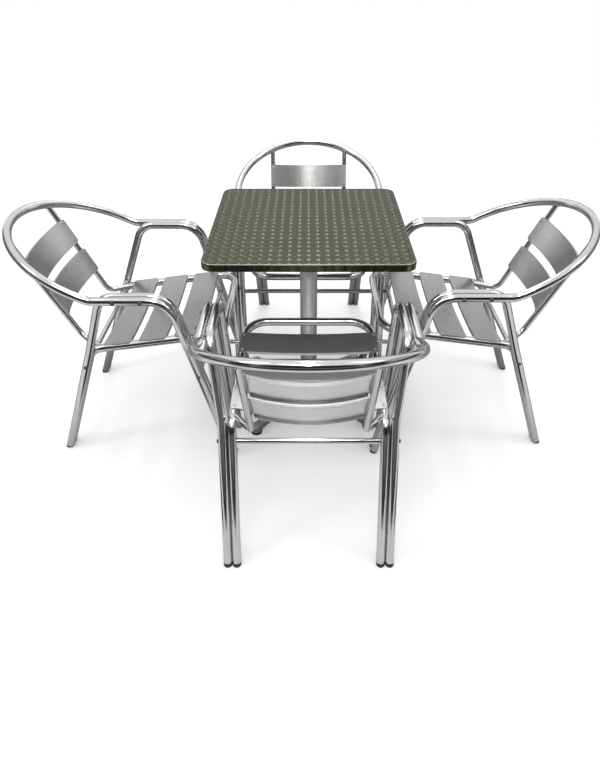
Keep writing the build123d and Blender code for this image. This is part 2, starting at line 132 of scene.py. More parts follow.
class Graph:
    """Node graph of one new material, ending in a Principled shader."""

    def __init__(self, name: str) -> None:
        """Makes an empty material with its shader and output.

        Args:
            name: Name of the material.
        """
        self.material = bpy.data.materials.new(name)
        self.material.use_nodes = True
        self.tree = self.material.node_tree
        self.tree.nodes.clear()
        self.output = self.node("ShaderNodeOutputMaterial")
        self.shader = self.node("ShaderNodeBsdfPrincipled")
        self.put(self.output.inputs["Surface"], self.shader.outputs["BSDF"])

    def put(self, target: Socket, value: Union[Value, Sequence[float]]) -> None:
        """Sets a socket to a constant or links it to another socket.

        Args:
            target: Input socket.
            value: Number, colour or output socket.
        """
        if isinstance(value, Socket):
            self.tree.links.new(value, target)
        else:
            target.default_value = value

    def node(self, kind: str, **settings: object) -> bpy.types.Node:
        """Adds a node.

        Args:
            kind: Blender's name of the node type.
            settings: Properties of the node.

        Returns:
            The new node.
        """
        node = self.tree.nodes.new(kind)
        for key, value in settings.items():
            setattr(node, key, value)
        return node

    def set_shader(self, **values: Union[Value, Sequence[float]]) -> None:
        """Sets inputs of the Principled shader, by names with underscores for spaces."""
        for key, value in values.items():
            self.put(self.shader.inputs[key.replace("_", " ")], value)

    def place(self) -> Socket:
        """Position on the piece, in the set's own frame."""
        return self.node("ShaderNodeTexCoord").outputs["Object"]

    def stretched(self, scale: Sequence[float]) -> Socket:
        """Position scaled by a factor along each axis."""
        node = self.node("ShaderNodeMapping")
        self.put(node.inputs["Vector"], self.place())
        self.put(node.inputs["Scale"], scale)
        return node.outputs["Vector"]

    def parts(self, vector: Socket) -> bpy.types.NodeOutputs:
        """Parts X, Y and Z of a vector."""
        node = self.node("ShaderNodeSeparateXYZ")
        self.put(node.inputs["Vector"], vector)
        return node.outputs

    def upward(self) -> Socket:
        """Upward part of the surface's normal, 1 on level faces and -1 underneath."""
        return self.parts(self.node("ShaderNodeTexCoord").outputs["Normal"])["Z"]

    def axis(self, grain: Grain) -> Socket:
        """Direction along one axis."""
        node = self.node("ShaderNodeCombineXYZ")
        for name, part in zip("XYZ", grain.value):
            self.put(node.inputs[name], part)
        return node.outputs["Vector"]

    def noise(self, vector: Socket, kind: Noise) -> Socket:
        """Noise between about 0.2 and 0.8, read at a vector."""
        node = self.node("ShaderNodeTexNoise")
        self.put(node.inputs["Vector"], vector)
        self.put(node.inputs["Scale"], kind.waves)
        self.put(node.inputs["Detail"], kind.detail)
        self.put(node.inputs["Roughness"], kind.rough)
        return node.outputs["Fac"]

    def span(self, value: Socket, results: Span, ends: Span = NOISE_ENDS) -> Socket:
        """Maps a value from one range to another, held at the ends.

        Args:
            value: Value to map.
            results: Results at the two ends.
            ends: The two ends of the input.

        Returns:
            The mapped value.
        """
        node = self.node("ShaderNodeMapRange", clamp=True)
        self.put(node.inputs["Value"], value)
        for word, (low, high) in (("From", ends), ("To", results)):
            self.put(node.inputs[f"{word} Min"], low)
            self.put(node.inputs[f"{word} Max"], high)
        return node.outputs["Result"]

    def math(self, operation: str, first: Value, second: Value) -> Socket:
        """One arithmetic step on two values."""
        node = self.node("ShaderNodeMath", operation=operation)
        self.put(node.inputs[0], first)
        self.put(node.inputs[1], second)
        return node.outputs["Value"]

    def weighted(self, first: Socket, second: Socket, share: float) -> Socket:
        """Sum of two values, the second by its share and the first by the rest."""
        rest = self.math("MULTIPLY", first, 1.0 - share)
        return self.math("ADD", rest, self.math("MULTIPLY", second, share))

    def vector(
        self, operation: str, first: Socket, second: Union[Socket, Sequence[float], None] = None
    ) -> Socket:
        """One arithmetic step on vectors.

        Args:
            operation: Name of the step.
            first: First vector.
            second: Second vector, where the step has one.

        Returns:
            The resulting vector.
        """
        node = self.node("ShaderNodeVectorMath", operation=operation)
        self.put(node.inputs[0], first)
        if second is not None:
            self.put(node.inputs[1], second)
        return node.outputs["Vector"]

    def length(self, vector: Socket) -> Socket:
        """Length of a vector."""
        node = self.node("ShaderNodeVectorMath", operation="LENGTH")
        self.put(node.inputs[0], vector)
        return node.outputs["Value"]

    def mix(
        self, kind: str, factor: Socket, ends: Iterable[Union[Socket, Sequence[float]]]
    ) -> Socket:
        """Mixes two colours or vectors.

        Args:
            kind: RGBA or VECTOR.
            factor: Share of the second.
            ends: The first and the second.

        Returns:
            The mixture.
        """
        node = self.node("ShaderNodeMix", data_type=kind)
        self.put(node.inputs["Factor"], factor)
        for name, end in zip("AB", ends):
            self.put(next(s for s in node.inputs if s.name == name and s.type == kind), end)
        return next(s for s in node.outputs if s.type == kind)

    def blend(
        self, factor: Socket, first: Union[Socket, Colour], second: Union[Socket, Colour]
    ) -> Socket:
        """Mixes two colours by a factor."""
        ends = (end if isinstance(end, Socket) else (*end, 1.0) for end in (first, second))
        return self.mix("RGBA", factor, ends)

    def mottle(self, noise: Socket, first: Colour, second: Colour) -> Socket:
        """Runs from one colour to another with a noise."""
        return self.blend(self.span(noise, RISE), first, second)

    def bump(self, height: Socket, relief: Relief) -> None:
        """Roughens the surface by a height between 0 and 1."""
        node = self.node("ShaderNodeBump")
        self.put(node.inputs["Strength"], relief.strength)
        self.put(node.inputs["Distance"], relief.depth)
        self.put(node.inputs["Height"], height)
        self.put(self.shader.inputs["Normal"], node.outputs["Normal"])


@dataclass(frozen=True)
class PolishedTube:
    """Drawn aluminium tube, polished by hand, with a faint haze and wipe marks."""

    colour: Colour = (0.64, 0.645, 0.64)
    dull_colour: Colour = (0.55, 0.555, 0.55)
    haze: Noise = Noise(26.0, 4.0, 0.6)
    dull_haze: Span = (0.45, 0.8)
    wipe: Noise = Noise(420.0)
    wipe_share: float = 0.25
    roughness: Span = (0.1, 0.19)
    waviness: Noise = Noise(55.0, 1.0)
    relief: Relief = Relief(0.03, 0.0006)

    def material(self) -> bpy.types.Material:
        """Builds the finish."""
        graph = Graph("polished_tube")
        haze = graph.noise(graph.place(), self.haze)
        wipe = graph.noise(graph.place(), self.wipe)
        dull = graph.span(haze, RISE, self.dull_haze)
        graph.set_shader(
            Base_Color=graph.blend(dull, self.colour, self.dull_colour),
            Metallic=1.0,
            Roughness=graph.span(graph.weighted(haze, wipe, self.wipe_share), self.roughness),
        )
        graph.bump(graph.noise(graph.place(), self.waviness), self.relief)
        return graph.material


@dataclass(frozen=True)
class BrushedSlat:
    """Satin aluminium sheet brushed along one axis; tops carry painted shade, undersides painted
    light.
    """

    grain: Grain
    colour: Colour = (0.635, 0.645, 0.635)
    line_colour: Colour = (0.475, 0.485, 0.475)
    # Painted shade: darker copies of the colours for faces that look up.
    painted_shade_and_highlight_colour: Colour = (0.468, 0.476, 0.462)
    painted_top_shade_line_colour: Colour = (0.355, 0.363, 0.352)
    top_shade_upward: Span = (0.6, 0.9)
    # Painted light: a paler colour for faces that look down.
    painted_underside_light_colour: Colour = (0.76, 0.77, 0.765)
    underside_light_upward: Span = (-0.3, -0.1)
    waves_along: float = 16.0
    waves_across: float = 1200.0
    lines: Noise = Noise(1.0, 3.0, 0.65)
    streaks: Noise = Noise(1.0)
    streak_scale: float = 0.12
    streak_share: float = 0.3
    line_ends: Span = (0.35, 0.65)
    roughness: Span = (0.26, 0.38)
    pull: float = 0.7
    relief: Relief = Relief(0.25, 0.00006)

    def material(self) -> bpy.types.Material:
        """Builds the finish."""
        graph = Graph(f"brushed_slat_{self.grain.name.lower()}")
        scale = [self.waves_along if part else self.waves_across for part in self.grain.value]
        lines = graph.noise(graph.stretched(scale), self.lines)
        wide = graph.stretched([part * self.streak_scale for part in scale])
        shade = graph.weighted(lines, graph.noise(wide, self.streaks), self.streak_share)
        shade = graph.span(shade, RISE, self.line_ends)
        fresh = graph.blend(shade, self.line_colour, self.colour)
        # Painted shade on faces that look up.
        worn = graph.blend(shade, self.painted_top_shade_line_colour, self.painted_shade_and_highlight_colour)
        upward = graph.upward()
        brushed = graph.blend(graph.span(upward, RISE, self.top_shade_upward), fresh, worn)
        # Painted light on faces that look down.
        under = graph.span(upward, FALL, self.underside_light_upward)
        graph.set_shader(
            Base_Color=graph.blend(under, brushed, self.painted_underside_light_colour),
            Metallic=1.0,
            Roughness=graph.span(lines, self.roughness),
            Anisotropic=self.pull,
            Anisotropic_Rotation=ACROSS_TANGENT,
            Tangent=graph.axis(self.grain),
        )
        graph.bump(lines, self.relief)
        return graph.material


@dataclass(frozen=True)
class EngineTurned:
    """Sheet covered in overlapping discs, each brushed round its own centre.

    Lengths on a disc are shares of the pitch between the discs. The fold round the board's edge has
    no discs and carries painted shade, dark with paler patches; its bend carries a painted
    highlight.
    """

    pitch: float = 0.0283
    disc: float = 0.74
    rim_share: float = 0.9
    eye: float = 0.2
    eye_shares: Span = (0.8, 1.2)
    colour: Colour = (0.142, 0.141, 0.107)
    edge_colour: Colour = (0.09, 0.089, 0.064)
    ring_waves: float = 46.0
    rings: Noise = Noise(1.0, 2.0, 0.7)
    disc_tones: Noise = Noise(1.0)
    disc_tone_share: float = 0.4
    disc_seed: Point = (3.7, 5.3, 0.0)
    # Painted shade on the fold, dark with paler patches.
    fold_shade_colour: Colour = (0.06, 0.059, 0.046)
    fold_pale_shade_colour: Colour = (0.17, 0.168, 0.13)
    fold_patches: Noise = Noise(1.6, 1.0)
    fold_patch_ends: Span = (0.35, 0.65)
    fold_upward: Span = (0.25, 0.5)
    # Painted highlight along the bend of the fold.
    painted_shade_and_highlight_colour: Colour = (0.46, 0.46, 0.42)
    bend_starts: Span = (0.7, 0.8)
    bend_stops: Span = (0.9, 0.97)
    roughness: Span = (0.33, 0.38)
    fold_smoother: float = 0.2
    pull: float = 1.0
    relief: Relief = Relief(0.2, 0.00005)

    def discs(self, graph: Graph, flat: Socket) -> tuple[Socket, Socket]:
        """Finds the disc that lies on top at each place.

        Args:
            graph: Graph of the finish.
            flat: Position on the sheet, in pitches.

        Returns:
            The way from the disc's centre to the place, and the centre.
        """
        corner = graph.vector("FLOOR", flat)
        inside = graph.vector("SUBTRACT", flat, corner)
        radial, centre = inside, corner
        for step in ((1.0, 0.0, 0.0), (0.0, 1.0, 0.0), (1.0, 1.0, 0.0)):
            away = graph.vector("SUBTRACT", inside, step)
            covers = graph.math("LESS_THAN", graph.length(away), self.disc)
            radial = graph.mix("VECTOR", covers, (radial, away))
            centre = graph.mix("VECTOR", covers, (centre, graph.vector("ADD", corner, step)))
        return radial, centre

    def material(self) -> bpy.types.Material:
        """Builds the finish."""
        graph = Graph("engine_turned_sheet")
        per_pitch = (1.0 / self.pitch, 1.0 / self.pitch, 0.0)
        flat = graph.vector("MULTIPLY", graph.place(), per_pitch)
        radial, centre = self.discs(graph, flat)
        reach = graph.length(radial)

        seed = graph.vector("MULTIPLY", centre, self.disc_seed)
        outward = graph.node("ShaderNodeCombineXYZ")
        graph.put(outward.inputs["X"], graph.math("MULTIPLY", reach, self.ring_waves))
        rings = graph.noise(graph.vector("ADD", seed, outward.outputs["Vector"]), self.rings)
        tone = graph.weighted(rings, graph.noise(seed, self.disc_tones), self.disc_tone_share)
        rim = graph.span(reach, RISE, (self.disc * self.rim_share, self.disc))
        hub = graph.span(reach, FALL, tuple(self.eye * share for share in self.eye_shares))
        sheet = graph.mottle(tone, self.edge_colour, self.colour)
        sheet = graph.blend(graph.math("MAXIMUM", rim, hub), sheet, self.edge_colour)

        upward = graph.upward()
        folded = graph.math("LESS_THAN", upward, self.bend_stops[1])
        # Painted highlight along the bend between the top and the fold.
        bend_start = graph.span(upward, RISE, self.bend_starts)
        bend_highlight = graph.math("MULTIPLY", bend_start, graph.span(upward, FALL, self.bend_stops))
        # Painted shade on the fold.
        patches = graph.noise(flat, self.fold_patches)
        patches = graph.span(patches, RISE, self.fold_patch_ends)
        fold = graph.blend(patches, self.fold_shade_colour, self.fold_pale_shade_colour)
        sheet = graph.blend(bend_highlight, sheet, self.painted_shade_and_highlight_colour)

        smoother = graph.math("MULTIPLY", folded, self.fold_smoother)
        plain = graph.math("MAXIMUM", graph.math("LESS_THAN", reach, self.eye), folded)
        tangents = (graph.vector("NORMALIZE", radial), graph.axis(Grain.ALONG_X))
        graph.set_shader(
            Base_Color=graph.blend(graph.span(upward, RISE, self.fold_upward), fold, sheet),
            Metallic=1.0,
            Roughness=graph.math("SUBTRACT", graph.span(rings, self.roughness), smoother),
            Anisotropic=self.pull,
            Tangent=graph.mix("VECTOR", plain, tangents),
        )
        graph.bump(rings, self.relief)
        return graph.material


@dataclass(frozen=True)
class SatinExtrusion:
    """Extruded aluminium with die lines along its length."""

    colour: Colour = (0.74, 0.745, 0.73)
    line_colour: Colour = (0.54, 0.545, 0.53)
    waves: Point = (700.0, 700.0, 3.0)
    lines: Noise = Noise(1.0, 3.0, 0.6)
    roughness: Span = (0.22, 0.36)
    pull: float = 0.5
    relief: Relief = Relief(0.2, 0.00008)

    def material(self) -> bpy.types.Material:
        """Builds the finish."""
        graph = Graph("satin_extrusion")
        lines = graph.noise(graph.stretched(self.waves), self.lines)
        graph.set_shader(
            Base_Color=graph.mottle(lines, self.line_colour, self.colour),
            Metallic=1.0,
            Roughness=graph.span(lines, self.roughness),
            Anisotropic=self.pull,
            Anisotropic_Rotation=ACROSS_TANGENT,
            Tangent=graph.axis(Grain.ALONG_Z),
        )
        graph.bump(lines, self.relief)
        return graph.material


@dataclass(frozen=True)
class Mottled:
    """What the plainer finishes share: two colours in soft patches, and a grain."""

    name: str
    colour: Colour
    patch_colour: Colour
    patches: Noise
    grain: Noise
    relief: Relief
    roughness: Span
    metallic: float = 1.0
    rough_by_grain: bool = False
    stretch: Point = (1.0, 1.0, 1.0)

    def material(self) -> bpy.types.Material:
        """Builds the finish."""
        graph = Graph(self.name)
        place = graph.stretched(self.stretch)
        patches, grain = graph.noise(place, self.patches), graph.noise(place, self.grain)
        graph.set_shader(
            Base_Color=graph.mottle(patches, self.patch_colour, self.colour),
            Metallic=self.metallic,
            Roughness=graph.span(grain if self.rough_by_grain else patches, self.roughness),
        )
        graph.bump(grain, self.relief)
        return graph.material


@dataclass(frozen=True)
class SandCast(Mottled):
    """Cast aluminium, stained, with the fine grain of its sand mould."""

    name: str = "sand_cast"
    colour: Colour = (0.36, 0.362, 0.355)
    patch_colour: Colour = (0.25, 0.252, 0.245)
    patches: Noise = Noise(30.0, 3.0)
    grain: Noise = Noise(480.0, 4.0, 0.65)
    relief: Relief = Relief(0.35, 0.0003)
    roughness: Span = (0.32, 0.52)
    rough_by_grain: bool = True


@dataclass(frozen=True)
class PressedBoard(Mottled):
    """Fibre board, dark grey, seen only from below."""

    name: str = "pressed_board"
    colour: Colour = (0.15, 0.148, 0.155)
    patch_colour: Colour = (0.105, 0.105, 0.118)
    patches: Noise = Noise(380.0, 5.0, 0.7)
    grain: Noise = patches
    relief: Relief = Relief(0.4, 0.0002)
    roughness: Span = (0.62, 0.85)
    metallic: float = 0.0
    stretch: Point = (1.0, 0.35, 1.0)


@dataclass(frozen=True)
class PowderCoat(Mottled):
    """Black powder coat, worn pale in patches, with an orange peel surface."""

    name: str = "powder_coat"
    colour: Colour = (0.055, 0.055, 0.057)
    patch_colour: Colour = (0.03, 0.03, 0.032)
    patches: Noise = Noise(45.0, 3.0)
    grain: Noise = Noise(900.0)
    relief: Relief = Relief(0.3, 0.00015)
    roughness: Span = (0.38, 0.55)
    metallic: float = 0.0


@dataclass(frozen=True)
class ZincPlate(Mottled):
    """Bright, spotted zinc on screws, rivets and the tie rod."""

    name: str = "zinc_plate"
    colour: Colour = (0.62, 0.62, 0.6)
    patch_colour: Colour = (0.4, 0.4, 0.39)
    patches: Noise = Noise(350.0, 3.0)
    grain: Noise = patches
    relief: Relief = Relief(0.15, 0.0001)
    roughness: Span = (0.2, 0.42)


@dataclass(frozen=True)
class PaintedShadeSteel(ZincPlate):
    """Plating on the bolts of the frames, darkened with painted shade."""

    name: str = "bolt_steel_painted_shade"
    # Painted shade: a dark colour for the bolt heads.
    colour: Colour = (0.22, 0.22, 0.217)
    patch_colour: Colour = (0.11, 0.11, 0.109)


@dataclass(frozen=True)
class WeldMetal(Mottled):
    """Weld metal with traces of soot, brushed clean but left duller than the tubes."""

    name: str = "weld_metal"
    colour: Colour = (0.56, 0.56, 0.55)
    patch_colour: Colour = (0.36, 0.36, 0.355)
    patches: Noise = Noise(160.0, 3.0)
    grain: Noise = Noise(1200.0)
    relief: Relief = Relief(0.2, 0.0001)
    roughness: Span = (0.24, 0.4)


@dataclass(frozen=True)
class MouldedPlastic:
    """Black moulded plastic, scuffed where it meets the floor."""

    colour: Colour = (0.022, 0.022, 0.024)
    scuff_colour: Colour = (0.09, 0.088, 0.085)
    scuff_height: float = 0.006
    scuff_ends: Span = (0.45, 0.65)
    grit: Noise = Noise(500.0, 4.0, 0.7)
    roughness: Span = (0.42, 0.62)
    relief: Relief = Relief(0.2, 0.0001)

    def material(self) -> bpy.types.Material:
        """Builds the finish."""
        graph = Graph("moulded_plastic")
        height = graph.parts(graph.place())["Z"]
        low = graph.span(height, FALL, (0.0, self.scuff_height))
        grit = graph.noise(graph.place(), self.grit)
        scuff = graph.math("MULTIPLY", low, graph.span(grit, RISE, self.scuff_ends))
        graph.set_shader(
            Base_Color=graph.blend(scuff, self.colour, self.scuff_colour),
            Roughness=graph.span(grit, self.roughness),
        )
        graph.bump(grit, self.relief)
        return graph.material


class Finishes:
    """Every finish of the set, each built once."""

    def __init__(self) -> None:
        """Builds the materials."""
        self.tube = PolishedTube().material()
        self.slat = {
            grain: BrushedSlat(grain).material() for grain in (Grain.ALONG_X, Grain.ALONG_Y)
        }
        self.top = EngineTurned().material()
        self.column = SatinExtrusion().material()
        self.cast = SandCast().material()
        self.board = PressedBoard().material()
        self.coat = PowderCoat().material()
        self.zinc = ZincPlate().material()
        self.steel = PaintedShadeSteel().material()
        self.weld = WeldMetal().material()
        self.plastic = MouldedPlastic().material()


def dress(node: bpy.types.Object, material: bpy.types.Material) -> None:
    """Gives a solid of the frame one finish.

    Args:
        node: The solid's object.
        material: Its finish.
    """
    node.data.materials.clear()
    node.data.materials.append(material)
    LOG.info("dressed %s in %s", node.name, material.name)


def add_piece(
    name: str, mesh: bpy.types.Mesh, material: bpy.types.Material, body: str
) -> bpy.types.Object:
    """Puts a finished mesh in the scene as a piece of the set.

    Args:
        name: Name of the piece.
        mesh: Its mesh, already in the set's frame.
        material: Its finish.
        body: Body that it rides on.

    Returns:
        The new object.
    """
    mesh.materials.append(material)
    piece = bpy.data.objects.new(name, mesh)
    bpy.context.scene.collection.objects.link(piece)
    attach(piece, body)
    LOG.info("built %s on %s", name, body)
    return piece


class Outline(Enum):
    """Shape of one ring of a turned piece, seen along its axis."""

    ROUND = "round"
    HEX = "hex"
    CROSS = "cross"

    def reach(self, angle: float) -> float:
        """Distance from the axis to the outline of unit size.

        Args:
            angle: Direction round the axis, in radians.

        Returns:
            The distance, 1 at the narrowest place of a hexagon and at the tips of a cross.
        """
        if self is Outline.HEX:
            sixth = math.pi / 3
            return 1.0 / math.cos(angle % sixth - sixth / 2)
        if self is Outline.CROSS:
            slot_share, least = 0.3, 1e-6
            across, along = sorted((abs(math.sin(angle)), abs(math.cos(angle))))
            return min(1.0 / along, slot_share / max(across, least))
        return 1.0


@dataclass(frozen=True)
class Ring:
    """One ring of a turned piece."""

    radius: float
    height: float
    outline: Outline = Outline.ROUND


Loop = list[bmesh.types.BMVert]


def join_loops(shape: bmesh.types.BMesh, lower: Loop, upper: Loop) -> None:
    """Lays a band of faces between two loops of as many points."""
    count = len(lower)
    for index in range(count):
        after = (index + 1) % count
        shape.faces.new((lower[index], lower[after], upper[after], upper[index]))


def turned(
    shape: bmesh.types.BMesh, rings: Sequence[Ring], frame: Matrix, steps: int = 36
) -> None:
    """Adds a closed turned solid to a mesh.

    Args:
        shape: Mesh that gets the solid.
        rings: Rings from one end to the other.
        frame: Where the solid's axis Z goes.
        steps: Points round each ring.
    """
    angles = [2 * math.pi * (step + 0.5) / steps for step in range(steps)]
    loops = []
    for ring in rings:
        loop = []
        for angle in angles:
            reach = ring.radius * ring.outline.reach(angle)
            point = Vector((reach * math.cos(angle), reach * math.sin(angle), ring.height))
            loop.append(shape.verts.new(frame @ point))
        loops.append(loop)
    for lower, upper in zip(loops, loops[1:]):
        join_loops(shape, lower, upper)
    shape.faces.new(reversed(loops[0]))
    shape.faces.new(loops[-1])


def smooth_mesh(name: str, shape: bmesh.types.BMesh, sharp: float = 35.0) -> bpy.types.Mesh:
    """Turns a bmesh into a mesh with smooth faces and crisp corners.

    Args:
        name: Name of the mesh.
        shape: Source, which is freed.
        sharp: Angle above which an edge stays crisp, in degrees.

    Returns:
        The mesh.
    """
    bmesh.ops.recalc_face_normals(shape, faces=shape.faces)
    mesh = bpy.data.meshes.new(name)
    shape.to_mesh(mesh)
    shape.free()
    for face in mesh.polygons:
        face.use_smooth = True
    mesh.set_sharp_from_angle(angle=math.radians(sharp))
    return mesh


def joined_shape(node: bpy.types.Object) -> bmesh.types.BMesh:
    """Copy of a solid's mesh in which faces that meet share their points."""
    shape = bmesh.new()
    shape.from_mesh(node.data)
    bmesh.ops.remove_doubles(shape, verts=shape.verts, dist=ONE_POINT)
    return shape


def islands(shape: bmesh.types.BMesh) -> list[Loop]:
    """Points of each separate piece of a mesh."""
    left = set(shape.verts)
    found = []
    while left:
        stack = [left.pop()]
        island = []
        while stack:
            vert = stack.pop()
            island.append(vert)
            for edge in vert.link_edges:
                other = edge.other_vert(vert)
                if other in left:
                    left.remove(other)
                    stack.append(other)
        found.append(island)
    return found


@dataclass(frozen=True)
class Seat:
    """Where one fastener sits: the plane under its head, its axis and its shank."""

    point: Vector
    outward: Vector
    shank: float

    def frame(self) -> Matrix:
        """Placement of a fastener that is drawn with its head up."""
        turn = self.outward.to_track_quat("Z", "Y").to_matrix().to_4x4()
        return Matrix.Translation(self.point) @ turn


def find_seat(island: Loop, rise: float, rim_share: float = 0.9) -> Seat:
    """Finds the seat of one plain fastener.

    The axis is the direction whose share of the faces' normals stands apart from the other two,
    and the head is the widest part.

    Args:
        island: Points of the fastener.
        rise: Height of its head.
        rim_share: Share of the largest radius from which points count as the head's rim.

    Returns:
        The seat.
    """
    faces = {face for vert in island for face in vert.link_faces}
    normals = np.array([face.normal for face in faces])
    areas = np.array([face.calc_area() for face in faces])
    values, vectors = np.linalg.eigh((normals * areas[:, None]).T @ normals)
    odd = 0 if values[1] - values[0] > values[2] - values[1] else 2
    axis = vectors[:, odd]
    points = np.array([vert.co for vert in island])
    along = points @ axis
    middle = points.mean(0)
    spread = np.linalg.norm(points - middle - np.outer(along - middle @ axis, axis), axis=1)
    rim = spread > rim_share * spread.max()
    if along[rim].mean() < (along.min() + along.max()) / 2:
        axis, along = -axis, -along
    centre = points[rim].mean(0)
    seat = along.max() - rise
    centre = centre + axis * (seat - centre @ axis)
    return Seat(Vector(centre), Vector(axis), float(seat - along.min()))


@dataclass(frozen=True)
class Fastener:
    """A shank with a narrowed end, under a rounded head with a hollow in it.

    Shares are of the width that they follow: the shank's, the head's or the hollow's.
    """

    shank_radius: float
    end_share: float
    end_length: float
    head: float
    rise: float
    rim: float
    flat_share: float
    round_turn: float
    round_steps: int = 6
    under_share: float = 0.97

    def rings(self, shank: float) -> list[Ring]:
        """Rings from the end of the shank to the bottom of the hollow.

        Args:
            shank: Length of the shank.

        Returns:
            The rings.
        """
        radius = self.head / 2
        rings = [
            Ring(self.shank_radius * self.end_share, -shank),
            Ring(self.shank_radius, self.end_length - shank),
            Ring(self.shank_radius, 0.0),
            Ring(radius * self.under_share, 0.0),
            Ring(radius, self.rim),
        ]
        for step in range(1, self.round_steps + 1):
            turn = math.radians(self.round_turn) * step / self.round_steps
            share = self.flat_share + (1.0 - self.flat_share) * math.cos(turn)
            rings.append(Ring(radius * share, self.rim + (self.rise - self.rim) * math.sin(turn)))
        return rings + self.hollow()

    def hollow(self) -> list[Ring]:
        """Rings of the hollow in the head, from its mouth down."""
        raise NotImplementedError


@dataclass(frozen=True)
class ButtonBolt(Fastener):
    """Button head bolt with a hexagon socket."""

    shank_radius: float = 0.003
    end_share: float = 0.8
    end_length: float = 0.0006
    head: float = 0.0122
    rise: float = 0.0034
    rim: float = 0.0003
    flat_share: float = 0.42
    round_turn: float = 82.0
    socket: float = 0.0036
    socket_depth: float = 0.0018
    mouth_share: float = 1.08
    mouth_depth: float = 0.0003

    def hollow(self) -> list[Ring]:
        """Rings of the socket."""
        half = self.socket / 2
        return [
            Ring(half * self.mouth_share, self.rise, Outline.HEX),
            Ring(half, self.rise - self.mouth_depth, Outline.HEX),
            Ring(half, self.rise - self.socket_depth, Outline.HEX),
        ]


@dataclass(frozen=True)
class BlindRivet(Fastener):
    """Domed blind rivet with the hollow that its broken pin leaves."""

    shank_radius: float = 0.002
    end_share: float = 0.7
    end_length: float = 0.0006
    head: float = 0.008
    rise: float = 0.0018
    rim: float = 0.0002
    flat_share: float = 0.2
    round_turn: float = 78.0
    pin: float = 0.0022
    mouth_share: float = 1.1
    mouth_depth: float = 0.0002
    floor_share: float = 0.9
    floor_depth: float = 0.0008
    stub_share: float = 0.3
    stub_depth: float = 0.0006

    def hollow(self) -> list[Ring]:
        """Rings of the hollow, up to the stub of the pin."""
        half = self.pin / 2
        return [
            Ring(half * self.mouth_share, self.rise),
            Ring(half, self.rise - self.mouth_depth),
            Ring(half * self.floor_share, self.rise - self.floor_depth),
            Ring(half * self.stub_share, self.rise - self.stub_depth),
        ]


@dataclass(frozen=True)
class CrossScrew(Fastener):
    """Pan head screw with a cross recess."""

    shank_radius: float = 0.00225
    end_share: float = 0.15
    end_length: float = 0.004
    head: float = 0.009
    rise: float = 0.0026
    rim: float = 0.0003
    flat_share: float = 0.5
    round_turn: float = 80.0
    round_steps: int = 5
    recess: float = 0.0046
    recess_depth: float = 0.0016
    lip_share: float = 0.9
    lip_depth: float = 0.0002
    floor_share: float = 0.55

    def hollow(self) -> list[Ring]:
        """Rings of the recess."""
        half = self.recess / 2
        return [
            Ring(half, self.rise, Outline.CROSS),
            Ring(half * self.lip_share, self.rise - self.lip_depth, Outline.CROSS),
            Ring(half * self.floor_share, self.rise - self.recess_depth, Outline.CROSS),
        ]


def fit_fasteners(
    node: bpy.types.Object, kind: Fastener, material: bpy.types.Material, body: str
) -> None:
    """Replaces plain fasteners of the frame by detailed ones in the same seats.

    Args:
        node: Solid that holds the plain fasteners.
        kind: Fastener to draw.
        material: Finish.
        body: Body that the fasteners ride on.
    """
    plain = joined_shape(node)
    shape = bmesh.new()
    for island in islands(plain):
        seat = find_seat(island, kind.rise)
        turned(shape, kind.rings(seat.shank), seat.frame())
    plain.free()
    name = f"{node.name}.detail"
    piece = add_piece(name, smooth_mesh(name, shape), material, body)
    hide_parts(node.name)


def end_loops(node: bpy.types.Object, least: float, sharp: float = 25.0) -> list[np.ndarray]:
    """Finds the outer edge of each tube end in a solid.

    Args:
        node: Solid that holds the tubes.
        least: Length of the shortest edge that counts, so that holes are left out.
        sharp: Angle above which an edge is a corner, in degrees.

    Returns:
        One closed run of points for each end.
    """
    shape = joined_shape(node)
    shape.verts.ensure_lookup_table()
    limit = math.radians(sharp)
    links: dict[int, list[int]] = {}
    for edge in shape.edges:
        if len(edge.link_faces) == 2 and edge.calc_face_angle() > limit:
            first, second = (vert.index for vert in edge.verts)
            links.setdefault(first, []).append(second)
            links.setdefault(second, []).append(first)
    loops = []
    left = {index for index, others in links.items() if len(others) == 2}
    while left:
        run = [left.pop()]
        while True:
            after = [other for other in links[run[-1]] if other in left]
            if not after:
                break
            left.remove(after[0])
            run.append(after[0])
        loop = np.array([shape.verts[index].co for index in run])
        if np.linalg.norm(np.roll(loop, -1, axis=0) - loop, axis=1).sum() > least:
            loops.append(loop)
    shape.free()
    return outer_loops(loops)


def outer_loops(loops: Sequence[np.ndarray], near: float = 0.006) -> list[np.ndarray]:
    """Keeps the larger of two loops round one middle.

    Args:
        loops: Closed runs of points.
        near: Distance under which two middles are one.

    Returns:
        The outer loops.
    """
    middles = [loop.mean(0) for loop in loops]
    sizes = [np.linalg.norm(loop - mid, axis=1).mean() for loop, mid in zip(loops, middles)]
    kept = []
    for index, loop in enumerate(loops):
        rivals = [
            other
            for other in range(len(loops))
            if other != index and np.linalg.norm(middles[other] - middles[index]) < near
        ]
        if all(sizes[index] > sizes[other] for other in rivals):
            kept.append(loop)
    return kept


